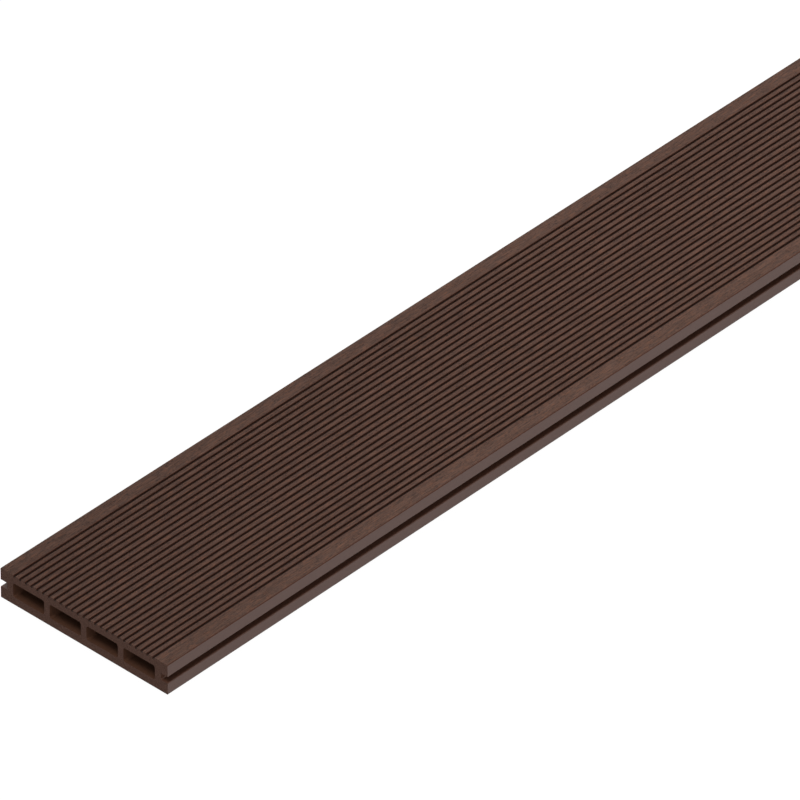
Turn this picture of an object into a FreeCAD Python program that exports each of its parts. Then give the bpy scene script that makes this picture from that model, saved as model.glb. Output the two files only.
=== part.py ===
import FreeCAD, Part
import math
import os
import Sketcher

# A grooved, hollow decking board of wood-plastic composite, extruded in one
# piece. X runs across the board, Y along it and Z up. The origin is on the
# underside, at the middle of the width and of the length.

# Driving dimensions in millimetres, apart from the two counts.
DRIVING = [
    ("board_length", 2200),  # stock length, sawn square at both ends
    ("board_width", 150),  # over the two sides
    ("board_thickness", 24),  # underside to the tops of the ribs
    ("base_arris", 0.3),  # rounding between the underside and a side
    ("deck_arris", 0.6),  # rounding between the deck face and a side
    ("slot_floor", 9.1),  # underside to the floor of a clip slot
    ("slot_height", 5.5),  # clip slot, floor to roof
    ("slot_depth", 6),  # clip slot, from the side inwards
    ("slot_corner", 0.8),  # inside corner radius of a clip slot
    ("lip_arris", 0.6),  # rounding of the lip under a clip slot
    ("side_wall", 5.3),  # back of a clip slot to the outer chamber
    ("chamber_count", 4),  # hollow chambers side by side
    ("web_thickness", 4.9),  # wall between two chambers
    ("floor_wall", 6.2),  # underside to the chambers
    ("deck_wall", 4.7),  # chambers to the bottoms of the grooves
    ("chamber_corner", 1.8),  # inside corner radius of a chamber
    ("groove_count", 25),  # grooves side by side in the deck face
    ("groove_width", 2),  # between two ribs
    ("groove_depth", 1.8),  # below the tops of the ribs
    ("groove_corner", 0.4),  # inside corner radius of a groove
    ("plain_border", 11.7),  # from each side to the first groove
    ("rib_arris", 0.3),  # rounding along both sides of each groove
]

# Sizes that follow from the driving ones.
DERIVED = [
    ("groove_pitch", "=(board_width - 2 * plain_border - groove_width) / (groove_count - 1)"),
    ("chambers_width", "=board_width - 2 * (slot_depth + side_wall)"),
    ("chamber_pitch", "=(chambers_width + web_thickness) / chamber_count"),
    ("chamber_height", "=board_thickness - groove_depth - deck_wall - floor_wall"),
]

OVERRUN = 1.0  # how far a cut starts outside the face that it opens
SAME_PLACE = 1e-4  # two coordinates closer than this are the same


def make_sheet(doc):
    sheet = doc.addObject("Spreadsheet::Sheet", "dims")
    for row, (name, content) in enumerate(DRIVING + DERIVED, start=1):
        sheet.set("A%d" % row, name)
        sheet.set("B%d" % row, str(content))
        sheet.setAlias("B%d" % row, name)
    doc.recompute()
    return sheet


def origin_part(body, role):
    return next(part for part in body.Origin.OriginFeatures if part.Role == role)


def section_sketch(body, name):
    """A sketch across the board, with X to the right and Z upwards."""
    sketch = body.newObject("Sketcher::SketchObject", name)
    sketch.AttachmentSupport = [(origin_part(body, "XZ_Plane"), "")]
    sketch.MapMode = "FlatFace"
    return sketch


def draw_box(sketch, sheet, sizes, round_corners=()):
    """A closed box, fully constrained. sizes gives the distance from the origin to its left wall
    and to its bottom, its width and its height, and the radius of the corners that are rounded.
    The corners count from the lower left one, anticlockwise."""
    now = {key: float(sheet.evalExpression(text.replace("dims.", ""))) for key, text in sizes.items()}
    west, south = -now["left"], now["bottom"]
    east, north = west + now["width"], south + now["height"]
    corners = [(west, south), (east, south), (east, north), (west, north)]
    inward = [(1, 1), (-1, 1), (-1, -1), (1, -1)]
    radius = [now["radius"] if n in round_corners else 0.0 for n in range(4)]

    root, start_point, end_point = -1, 1, 2  # the origin and the ends of a line, as constraints name them
    walls = []
    for n, kind in enumerate(["Horizontal", "Vertical", "Horizontal", "Vertical"]):
        after = (n + 1) % 4
        along = [(b > a) - (b < a) for a, b in zip(corners[n], corners[after])]
        start = [c + radius[n] * step for c, step in zip(corners[n], along)]
        end = [c - radius[after] * step for c, step in zip(corners[after], along)]
        line = Part.LineSegment(FreeCAD.Vector(*start, 0), FreeCAD.Vector(*end, 0))
        walls.append(sketch.addGeometry(line, False))
        sketch.addConstraint(Sketcher.Constraint(kind, walls[n]))

    arcs = []
    for n in range(4):
        before, after = walls[n - 1], walls[n]
        if n not in round_corners:
            sketch.addConstraint(Sketcher.Constraint("Coincident", before, end_point, after, start_point))
            continue
        centre = [c + radius[n] * step for c, step in zip(corners[n], inward[n])]
        circle = Part.Circle(FreeCAD.Vector(*centre, 0), FreeCAD.Vector(0, 0, 1), radius[n])
        opening = math.pi + n * math.pi / 2
        arc = sketch.addGeometry(Part.ArcOfCircle(circle, opening, opening + math.pi / 2), False)
        sketch.addConstraint(Sketcher.Constraint("Tangent", before, end_point, arc, start_point))
        sketch.addConstraint(Sketcher.Constraint("Tangent", arc, end_point, after, start_point))
        arcs.append(arc)

    for arc in arcs[1:]:
        sketch.addConstraint(Sketcher.Constraint("Equal", arcs[0], arc))
    bound = {
        "left": ("DistanceX", walls[3], start_point, root, start_point, now["left"]),
        "width": ("DistanceX", walls[3], start_point, walls[1], start_point, now["width"]),
        "height": ("DistanceY", walls[0], start_point, walls[2], start_point, now["height"]),
    }
    if now["bottom"] > 0:
        bound["bottom"] = ("DistanceY", root, start_point, walls[0], start_point, now["bottom"])
    else:
        sketch.addConstraint(Sketcher.Constraint("PointOnObject", walls[0], start_point, root))
    if arcs:
        bound["radius"] = ("Radius", arcs[0], now["radius"])
    for key, (kind, *where) in bound.items():
        index = sketch.addConstraint(Sketcher.Constraint(kind, *where))
        sketch.renameConstraint(index, key)
        sketch.setExpression("Constraints." + key, sizes[key])


def cut_through(body, sketch, name):
    """Cuts the sketch out of the body over its whole length, and sees that material went."""
    doc = body.Document
    doc.recompute()
    before = body.Shape.Volume
    pocket = body.newObject("PartDesign::Pocket", name)
    pocket.Profile = sketch
    pocket.SideType = "Symmetric"
    pocket.Type = "ThroughAll"
    doc.recompute()
    if body.Shape.Volume >= before:
        raise RuntimeError(name + " cuts nothing")
    return pocket


def repeat_across(body, feature, name, count, pitch):
    pattern = body.newObject("PartDesign::LinearPattern", name)
    pattern.Originals = [feature]
    pattern.Direction = (origin_part(body, "X_Axis"), [""])
    pattern.Mode = "Spacing"
    pattern.setExpression("Occurrences", count)
    pattern.setExpression("Offset", pitch)
    body.Tip = pattern
    body.Document.recompute()
    return pattern


def make_plank(body, sheet):
    """The outer form of the board, before anything is cut."""
    sketch = section_sketch(body, "plank_section")
    draw_box(sketch, sheet, {
        "left": "dims.board_width / 2",
        "bottom": "0",
        "width": "dims.board_width",
        "height": "dims.board_thickness",
    })
    body.Document.recompute()
    plank = body.newObject("PartDesign::Pad", "plank")
    plank.Profile = sketch
    plank.SideType = "Symmetric"
    plank.setExpression("Length", "dims.board_length")


def cut_clip_slots(body, sheet):
    """The slots that hidden clips grip, one in each side, with a rounded back."""
    sketch = section_sketch(body, "slot_section")
    draw_box(sketch, sheet, {
        "left": "dims.board_width / 2 + %g" % OVERRUN,
        "bottom": "dims.slot_floor",
        "width": "dims.slot_depth + %g" % OVERRUN,
        "height": "dims.slot_height",
        "radius": "dims.slot_corner",
    }, round_corners=(1, 2))
    slot = cut_through(body, sketch, "clip_slot")
    other_slot = body.newObject("PartDesign::Mirrored", "other_clip_slot")
    other_slot.Originals = [slot]
    other_slot.MirrorPlane = (origin_part(body, "YZ_Plane"), [""])
    body.Tip = other_slot


def cut_chambers(body, sheet):
    """The hollow chambers, with a web between each two."""
    sketch = section_sketch(body, "chamber_section")
    draw_box(sketch, sheet, {
        "left": "dims.chambers_width / 2",
        "bottom": "dims.floor_wall",
        "width": "dims.chamber_pitch - dims.web_thickness",
        "height": "dims.chamber_height",
        "radius": "dims.chamber_corner",
    }, round_corners=(0, 1, 2, 3))
    chamber = cut_through(body, sketch, "chamber")
    repeat_across(body, chamber, "chambers", "dims.chamber_count", "dims.chamber_pitch")


def cut_grooves(body, sheet):
    """The grooves of the deck face, which leave the ribs standing."""
    sketch = section_sketch(body, "groove_section")
    draw_box(sketch, sheet, {
        "left": "dims.board_width / 2 - dims.plain_border",
        "bottom": "dims.board_thickness - dims.groove_depth",
        "width": "dims.groove_width",
        "height": "dims.groove_depth + %g" % OVERRUN,
        "radius": "dims.groove_corner",
    }, round_corners=(0, 1))
    groove = cut_through(body, sketch, "groove")
    repeat_across(body, groove, "grooves", "dims.groove_count", "dims.groove_pitch")


def lengthwise_edges(shape, wanted):
    """The names of the straight edges along Y at those distances from the middle and heights."""
    names = []
    for number, edge in enumerate(shape.Edges, start=1):
        ends = [vertex.Point for vertex in edge.Vertexes]
        if len(ends) != 2 or (ends[1] - ends[0]).cross(FreeCAD.Vector(0, 1, 0)).Length > SAME_PLACE:
            continue
        if wanted(abs(ends[0].x), ends[0].z):
            names.append("Edge%d" % number)
    return names


def round_edges(body, name, radius, wanted):
    base = body.Tip
    edges = lengthwise_edges(base.Shape, wanted)
    fillet = body.newObject("PartDesign::Fillet", name)
    fillet.Base = (base, edges)
    fillet.setExpression("Radius", radius)
    body.Document.recompute()


def round_arrises(body, sheet):
    """The edges that the die leaves rounded. The roof of a clip slot keeps a sharp edge."""
    side = sheet.board_width / 2
    deck = sheet.board_thickness
    at = lambda a, b: abs(a - b) < SAME_PLACE
    round_edges(body, "base_arrises", "dims.base_arris", lambda x, z: at(x, side) and at(z, 0))
    round_edges(body, "deck_arrises", "dims.deck_arris", lambda x, z: at(x, side) and at(z, deck))
    round_edges(
        body, "lip_arrises", "dims.lip_arris", lambda x, z: at(x, side) and at(z, sheet.slot_floor)
    )
    round_edges(
        body,
        "rib_arrises",
        "dims.rib_arris",
        lambda x, z: x < side - sheet.plain_border + SAME_PLACE and at(z, deck),
    )


def make_board(doc, sheet):
    body = doc.addObject("PartDesign::Body", "decking_board")
    body.Label = "decking_board"
    body.Placement = FreeCAD.Placement()
    make_plank(body, sheet)
    cut_clip_slots(body, sheet)
    cut_chambers(body, sheet)
    cut_grooves(body, sheet)
    round_arrises(body, sheet)
    return body


def check(doc, body):
    for item in doc.Objects:
        if "Invalid" in item.State or "Error" in item.State:
            raise RuntimeError(item.Name + " did not compute")
    shape = body.Shape
    if shape.isNull() or not shape.isValid() or len(shape.Solids) != 1:
        raise RuntimeError(body.Label + " is not one valid solid")


def main():
    doc = FreeCAD.newDocument("DeckingBoard")
    sheet = make_sheet(doc)
    board = make_board(doc, sheet)
    doc.recompute()
    check(doc, board)
    os.makedirs("parts", exist_ok=True)
    board.Shape.exportStep(os.path.join("parts", board.Label + ".step"))
    print("%s: %.0f mm3" % (board.Label, board.Shape.Volume))


main()
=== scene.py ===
# A grooved, hollow decking board of wood-plastic composite, lying deck face up
# on a plain white studio floor. The near sawn end is at the low end of Y.

import math
import bmesh
import bpy
from mathutils import Matrix, Vector


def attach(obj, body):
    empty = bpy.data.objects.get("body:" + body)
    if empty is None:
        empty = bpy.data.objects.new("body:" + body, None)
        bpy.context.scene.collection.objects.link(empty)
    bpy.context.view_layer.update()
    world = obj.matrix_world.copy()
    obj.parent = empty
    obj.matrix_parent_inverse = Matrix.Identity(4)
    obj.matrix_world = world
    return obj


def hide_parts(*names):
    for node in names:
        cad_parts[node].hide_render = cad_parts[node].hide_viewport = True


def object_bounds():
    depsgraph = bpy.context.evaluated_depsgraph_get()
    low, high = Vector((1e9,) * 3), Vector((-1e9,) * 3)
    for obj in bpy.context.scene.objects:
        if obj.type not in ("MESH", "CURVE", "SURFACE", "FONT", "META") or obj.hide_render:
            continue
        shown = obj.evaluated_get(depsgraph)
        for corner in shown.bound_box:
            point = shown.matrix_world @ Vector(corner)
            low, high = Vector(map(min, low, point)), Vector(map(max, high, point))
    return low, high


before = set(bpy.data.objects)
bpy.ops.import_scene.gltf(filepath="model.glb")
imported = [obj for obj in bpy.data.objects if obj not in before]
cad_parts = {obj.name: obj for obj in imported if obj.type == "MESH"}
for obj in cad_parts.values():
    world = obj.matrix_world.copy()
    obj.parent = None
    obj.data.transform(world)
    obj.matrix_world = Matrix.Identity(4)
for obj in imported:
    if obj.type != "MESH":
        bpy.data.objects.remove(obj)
cadLow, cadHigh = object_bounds()
print("frame loaded")

mm = 0.001
plasticIor = 1.5  # index of refraction of the composite

# a Mix node's sockets share their names, so they are reached by number
factor, floatA, floatB, colourA, colourB = 0, 2, 3, 6, 7
colourOut = 2


# small helpers

def colour(text):
    # sRGB hex to the linear values that shaders take
    channels = [int(text[i:i + 2], 16) / 255 for i in (1, 3, 5)]
    return [c / 12.92 if c <= 0.04045 else ((c + 0.055) / 1.055) ** 2.4 for c in channels] + [1.0]


def addNode(tree, kind, inputs=None, **settings):
    node = tree.nodes.new(kind)
    for name, value in settings.items():
        setattr(node, name, value)
    for socket, value in (inputs or {}).items():
        if isinstance(value, bpy.types.NodeSocket):
            tree.links.new(value, node.inputs[socket])
        else:
            node.inputs[socket].default_value = value
    return node


def newMaterial(name):
    material = bpy.data.materials.new(name)
    material.use_nodes = True
    material.node_tree.nodes.clear()
    return material, material.node_tree


# what a grain has unless its own look says otherwise
grainLook = {
    "detail": 2.0,  # finer layers of noise
    "falloff": 0.55,  # strength of each finer layer
    "shift": (0.0, 0.0, 0.0),  # moves one grain off another of its size
}


def grain(tree, look, tilt=0.0):
    # spots of the size that look gives in mm along X, Y and Z, turned by tilt degrees about Y;
    # its range of the noise becomes the levels that it names
    look = {**grainLook, **look}
    place = addNode(tree, "ShaderNodeTexCoord")
    turned = addNode(tree, "ShaderNodeMapping", {
        "Vector": place.outputs["Object"], "Rotation": (0.0, math.radians(tilt), 0.0)})
    shrunk = addNode(tree, "ShaderNodeMapping", {
        "Vector": turned.outputs[0], "Location": look["shift"],
        "Scale": [1 / (size * mm) for size in look["size"]]})
    spots = addNode(tree, "ShaderNodeTexNoise", {
        "Vector": shrunk.outputs[0], "Scale": 1.0,
        "Detail": look["detail"], "Roughness": look["falloff"]})
    reach = addNode(tree, "ShaderNodeMapRange", {
        "Value": spots.outputs["Fac"],
        "From Min": look["range"][0], "From Max": look["range"][1],
        "To Min": look["levels"][0], "To Max": look["levels"][1]})
    return reach.outputs["Result"]


def coat(tree, look, base, level, height):
    # the end of every finish: base made lighter or darker by level, with fine relief from height
    shaded = addNode(tree, "ShaderNodeMix", {
        factor: 1.0, colourA: base, colourB: level}, data_type="RGBA", blend_type="MULTIPLY")
    bump = addNode(tree, "ShaderNodeBump", {
        "Distance": look["relief"] * mm, "Height": height})
    surface = addNode(tree, "ShaderNodeBsdfPrincipled", {
        "Base Color": shaded.outputs[colourOut], "Roughness": look["roughness"],
        "Normal": bump.outputs[0], "IOR": plasticIor, "Specular IOR Level": look["shine"]})
    addNode(tree, "ShaderNodeOutputMaterial", {"Surface": surface.outputs[0]})


# brushed deck

deckLook = {
    "brown": "#56423a",
    "fibre": "#68493b",
    "pore": "#382c28",
    "fibres": {
        "size": (0.6, 9.0, 0.6), "range": (0.48, 0.62), "levels": (0.0, 0.9),
        "shift": (40.0, 0.0, 0.0)},
    # as coarse as the render shows; real pores are about half as large
    "pores": {
        "size": (0.6, 2.2, 0.6), "range": (0.42, 0.58), "levels": (0.1, 1.0),
        "shift": (0.0, 70.0, 0.0)},
    "poreRows": {
        "size": (0.6, 12.0, 0.6), "range": (0.44, 0.56), "levels": (0.1, 1.0),
        "shift": (9.0, 3.0, 0.0)},
    "poreGroups": {
        "size": (2.0, 14.0, 2.0), "range": (0.4, 0.6), "levels": (0.55, 1.0),
        "shift": (2.0, 8.0, 0.0)},
    "clouds": {"size": (9.0, 140.0, 9.0), "range": (0.3, 0.7), "levels": (0.94, 1.06)},
    "scratches": {
        "size": (0.45, 14.0, 0.45), "range": (0.3, 0.7), "levels": (0.74, 1.26), "detail": 3.0},
    "roughness": 0.8,
    "shine": 0.05,
    "relief": 0.04,  # mm
}


def brushedDeck():
    # wood-plastic composite, brushed along its length after extrusion:
    # dull brown, with redder fibres and rows of short dark pores that follow the board
    material, tree = newMaterial("brushed_wood_plastic_composite")
    look = deckLook
    scratches = grain(tree, look["scratches"])
    fibred = addNode(tree, "ShaderNodeMix", {
        factor: grain(tree, look["fibres"]),
        colourA: colour(look["brown"]), colourB: colour(look["fibre"])}, data_type="RGBA")
    rowed = addNode(tree, "ShaderNodeMath", {
        0: grain(tree, look["pores"]), 1: grain(tree, look["poreRows"])}, operation="MULTIPLY")
    grouped = addNode(tree, "ShaderNodeMath", {
        0: rowed.outputs[0], 1: grain(tree, look["poreGroups"])}, operation="MULTIPLY")
    pored = addNode(tree, "ShaderNodeMix", {
        factor: grouped.outputs[0],
        colourA: fibred.outputs[colourOut], colourB: colour(look["pore"])}, data_type="RGBA")
    level = addNode(tree, "ShaderNodeMath", {
        0: grain(tree, look["clouds"]), 1: scratches}, operation="MULTIPLY")
    coat(tree, look, pored.outputs[colourOut], level.outputs[0], scratches)
    return material


# extruded skin: sides, slots, groove walls and beds, chambers and underside

skinLook = {
    # drag lines of the die
    "lines": {"size": (0.5, 900.0, 0.5), "range": (0.3, 0.7), "levels": (0.95, 1.05)},
    "mottle": {
        "size": (3.0, 12.0, 3.0), "range": (0.3, 0.7), "levels": (0.95, 1.05), "detail": 4.0},
    "relief": 0.02,  # mm
    "finishes": {
        "side": {"base": "#684c43", "roughness": 0.35, "shine": 0.26},
        # slot and chamber: bases darker and redder than the side's, painted shade inside the
        # hollows
        "slot": {"base": "#583b2f", "roughness": 0.3, "shine": 0.3},
        # groove walls and beds: bases darkened far below the side's, painted shade in the narrow
        # grooves
        "groove": {"base": "#4e3228", "roughness": 0.6, "shine": 0.08},
        "bed": {"base": "#2e1e17", "roughness": 0.5, "shine": 0.2},  # the floor of a groove, darkest of all: painted shadow
        "chamber": {"base": "#533729", "roughness": 0.7, "shine": 0.12},
    },
}


def extrudedSkin(place):
    # wood-plastic composite as the die leaves it: smooth, with faint drag lines; outside it
    # mirrors a little of the room, which greys the brown; in slots, grooves and chambers its base
    # is darkened as painted shade
    material, tree = newMaterial("extruded_wood_plastic_composite_" + place)
    look = {**skinLook, **skinLook["finishes"][place]}
    lines = grain(tree, look["lines"])
    level = addNode(tree, "ShaderNodeMath", {
        0: lines, 1: grain(tree, look["mottle"])}, operation="MULTIPLY")
    coat(tree, look, colour(look["base"]), level.outputs[0], lines)
    return material


# sawn ends

sawnLook = {
    "body": "#674d44",
    "fleck": "#7e5f51",
    "hole": "#3c2a22",
    # crumbs of wood flour, as coarse as the render shows; real ones are about 0.3 mm
    "flecks": {
        "size": (0.7, 0.7, 0.7), "range": (0.5, 0.68), "levels": (0.0, 0.8), "detail": 3.0},
    "holes": {
        "size": (0.8, 0.8, 0.8), "range": (0.52, 0.68), "levels": (0.0, 0.8),
        "shift": (30.0, 0.0, 5.0)},
    "sawMarks": {"size": (0.6, 60.0, 9.0), "range": (0.3, 0.7), "levels": (0.91, 1.09)},
    "sawTilt": 38.0,  # degrees from upright
    "roughness": 0.9,
    "shine": 0.1,
    "relief": 0.06,  # mm
}


def sawnEnd():
    # the composite cut square with a fine saw: dead dull and a little paler, speckled
    # with wood flour, with the faint slanting marks of the blade
    material, tree = newMaterial("sawn_wood_plastic_composite")
    look = sawnLook
    sawMarks = grain(tree, look["sawMarks"], look["sawTilt"])
    flecked = addNode(tree, "ShaderNodeMix", {
        factor: grain(tree, look["flecks"]),
        colourA: colour(look["body"]), colourB: colour(look["fleck"])}, data_type="RGBA")
    holed = addNode(tree, "ShaderNodeMix", {
        factor: grain(tree, look["holes"]),
        colourA: flecked.outputs[colourOut], colourB: colour(look["hole"])}, data_type="RGBA")
    coat(tree, look, holed.outputs[colourOut], sawMarks, sawMarks)
    return material


# the board itself: a merged copy of the CAD solid, with a finish for each face

boardLook = {
    "flat": 0.01,  # mm from an outer plane, within which a face lies in that plane
    "endNormal": 0.9,  # how far a sawn end's normal reaches along Y, at least
    "grooveZone": 2.2,  # mm below the rib tops, past the grooves' floors
    "bedZone": 1.45,  # mm below the rib tops, where the grooves' lower corners begin; below it a groove takes the bed's painted shadow
    "edgeZone": 0.65,  # mm in from an outer face, past its rounded edges
    "slotDepth": 6.1,  # mm in from a side, past the back of a clip slot
    "sharpEdge": 30.0,  # degrees
    "merge": 0.001,  # mm between points that become one
    "flatWeight": 100,  # large faces alone set the shading of the small ones beside them
}
finishNames = ["deck", *skinLook["finishes"], "end"]


def finishOf(face):
    look = boardLook
    middle, normal = face.calc_center_median(), face.normal
    below = (cadHigh.z - middle.z) / mm
    above = (middle.z - cadLow.z) / mm
    inside = (cadHigh.x - abs(middle.x)) / mm
    if abs(normal.y) > look["endNormal"]:
        return "end"
    if below < look["flat"]:
        return "deck"  # rib tops and plain borders
    if below < look["edgeZone"] or below < look["grooveZone"] and inside > look["slotDepth"]:
        return "bed" if below > look["bedZone"] else "groove"  # also the deck's rounded edges, which so carry the grooves' painted shade as a dark line
    if inside < look["flat"] or above < look["edgeZone"]:
        return "side"  # also the underside
    return "slot" if inside < look["slotDepth"] else "chamber"


def makeBoard():
    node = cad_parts["decking_board"]
    board = bpy.data.objects.new("board", bpy.data.meshes.new("board"))
    bpy.context.scene.collection.objects.link(board)
    mesh = bmesh.new()
    mesh.from_mesh(node.data)
    bmesh.ops.remove_doubles(mesh, verts=mesh.verts, dist=boardLook["merge"] * mm)
    for face in mesh.faces:
        face.smooth = True
        face.material_index = finishNames.index(finishOf(face))
    for edge in mesh.edges:
        edge.smooth = edge.calc_face_angle(math.pi) < math.radians(boardLook["sharpEdge"])
    mesh.to_mesh(board.data)
    mesh.free()
    board.data.materials.append(brushedDeck())  # in the order of finishNames
    for place in skinLook["finishes"]:
        board.data.materials.append(extrudedSkin(place))
    board.data.materials.append(sawnEnd())
    weighted = board.modifiers.new("flat faces stay flat", "WEIGHTED_NORMAL")
    weighted.keep_sharp = True
    weighted.weight = boardLook["flatWeight"]
    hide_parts("decking_board")
    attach(board, "root")


makeBoard()
print("board finished")


# floor, sky and lamps

studio = {
    "floorSize": 80.0,  # m
    "floorDrop": 0.1,  # mm below the underside, so that the two never flicker
    "bounce": "#606060",  # what the floor sends back to the board
    "floorGlow": 0.93,  # how white the floor is to the camera in full shade
    "worldLevel": 0.34,  # what lights the board from all sides
    "worldSeen": 1.0,  # what the camera sees, white
    # a high spot whose soft rim crosses the near left corner, which falls off as in the photograph
    "key": {
        "power": 1065.0,  # W
        "from": (-2.3, 0.25, 6.5),  # m
        "aim": (6.0, 1.245, 0.0),  # m
        "cone": 75.6,  # degrees across
        "rim": 0.17,  # share of the cone
        "radius": 0.25,  # m
    },
    # weak soft fills for the right side, for the near end with its chambers, and for the far end;
    # each shines from a direction and is as wide as its angle in degrees
    "fills": {
        "right": {"level": 1.18, "from": (1.0, -0.36, 0.1), "angle": 50.0},
        "front": {"level": 1.1, "from": (0.3, -1.0, 2.8), "angle": 25.0},
        "back": {"level": 0.3, "from": (-0.3, 1.0, 0.2), "angle": 40.0},
    },
}


def seenRay(tree):
    # 1 for what the camera sees, straight or by a mirror or through glass, else 0
    paths = addNode(tree, "ShaderNodeLightPath")
    seen = addNode(tree, "ShaderNodeMath", {
        0: paths.outputs["Is Camera Ray"], 1: paths.outputs["Is Glossy Ray"]}, operation="MAXIMUM")
    seen = addNode(tree, "ShaderNodeMath", {
        0: seen.outputs[0], 1: paths.outputs["Is Transmission Ray"]}, operation="MAXIMUM")
    return seen.outputs[0]


def makeFloor():
    floor = bpy.data.objects.new("floor", bpy.data.meshes.new("floor"))
    bpy.context.scene.collection.objects.link(floor)
    height = cadLow.z - studio["floorDrop"] * mm
    mesh = bmesh.new()
    bmesh.ops.create_grid(mesh, x_segments=1, y_segments=1, size=studio["floorSize"] / 2)
    bmesh.ops.translate(mesh, verts=mesh.verts, vec=(0.0, 0.0, height))
    mesh.to_mesh(floor.data)
    mesh.free()
    material, tree = newMaterial("white_paper_floor")
    paper = addNode(tree, "ShaderNodeBsdfDiffuse", {"Color": colour(studio["bounce"])})
    glow = addNode(tree, "ShaderNodeEmission", {
        "Color": colour("#ffffff"), "Strength": studio["floorGlow"]})
    glowing = addNode(tree, "ShaderNodeAddShader", {0: paper.outputs[0], 1: glow.outputs[0]})
    mixed = addNode(tree, "ShaderNodeMixShader", {
        0: seenRay(tree), 1: paper.outputs[0], 2: glowing.outputs[0]})
    addNode(tree, "ShaderNodeOutputMaterial", {"Surface": mixed.outputs[0]})
    floor.data.materials.append(material)


def makeWorld():
    world = bpy.data.worlds.new("studio")
    bpy.context.scene.world = world
    world.use_nodes = True
    tree = world.node_tree
    tree.nodes.clear()
    level = addNode(tree, "ShaderNodeMix", {
        factor: seenRay(tree), floatA: studio["worldLevel"], floatB: studio["worldSeen"]},
        data_type="FLOAT")
    sky = addNode(tree, "ShaderNodeBackground", {
        "Color": colour("#ffffff"), "Strength": level.outputs[0]})
    addNode(tree, "ShaderNodeOutputWorld", {"Surface": sky.outputs[0]})


def addLamp(lamp, place, source):
    # the lamp shines from place, along the line from source to the origin
    lit = bpy.data.objects.new(lamp.name, lamp)
    turn = Vector(source).to_track_quat("Z", "Y").to_matrix()
    lit.matrix_world = Matrix.Translation(place) @ turn.to_4x4()
    bpy.context.scene.collection.objects.link(lit)


def makeLamps():
    look = studio["key"]
    key = bpy.data.lights.new("key", "SPOT")
    key.energy = look["power"]
    key.spot_size = math.radians(look["cone"])
    key.spot_blend = look["rim"]
    key.shadow_soft_size = look["radius"]
    addLamp(key, look["from"], Vector(look["from"]) - Vector(look["aim"]))
    for name, look in studio["fills"].items():
        fill = bpy.data.lights.new(name, "SUN")
        fill.energy = look["level"]
        fill.angle = math.radians(look["angle"])
        addLamp(fill, (0.0, 0.0, 0.0), look["from"])  # a sun shines alike from any place


# camera, solved from the board's edges in the photograph: a very long lens, far off

cameraLook = {
    "lens": 484.04,  # mm
    "sensor": 36.0,  # mm
    "nearest": 1.0,  # m, where the camera begins to see
    "farthest": 200.0,  # m, where it ends
    "place": (3.835150, -5.018763, 4.304519),  # m
    "right": (0.73592044, 0.67701787, 0.00824062),
    "down": (0.41069503, -0.43668433, -0.80039765),
    "ahead": (-0.53828496, 0.59241337, -0.5994128),
}


def makeCamera():
    look = cameraLook
    data = bpy.data.cameras.new("camera")
    data.lens = look["lens"]
    data.sensor_width = look["sensor"]
    data.clip_start = look["nearest"]
    data.clip_end = look["farthest"]
    camera = bpy.data.objects.new("camera", data)
    turn = Matrix((look["right"], -Vector(look["down"]), -Vector(look["ahead"]))).transposed()
    camera.matrix_world = Matrix.Translation(look["place"]) @ turn.to_4x4()
    bpy.context.scene.collection.objects.link(camera)
    bpy.context.scene.camera = camera


makeFloor()
makeWorld()
makeLamps()
makeCamera()
bpy.context.scene.view_settings.view_transform = "Standard"
print("studio set")
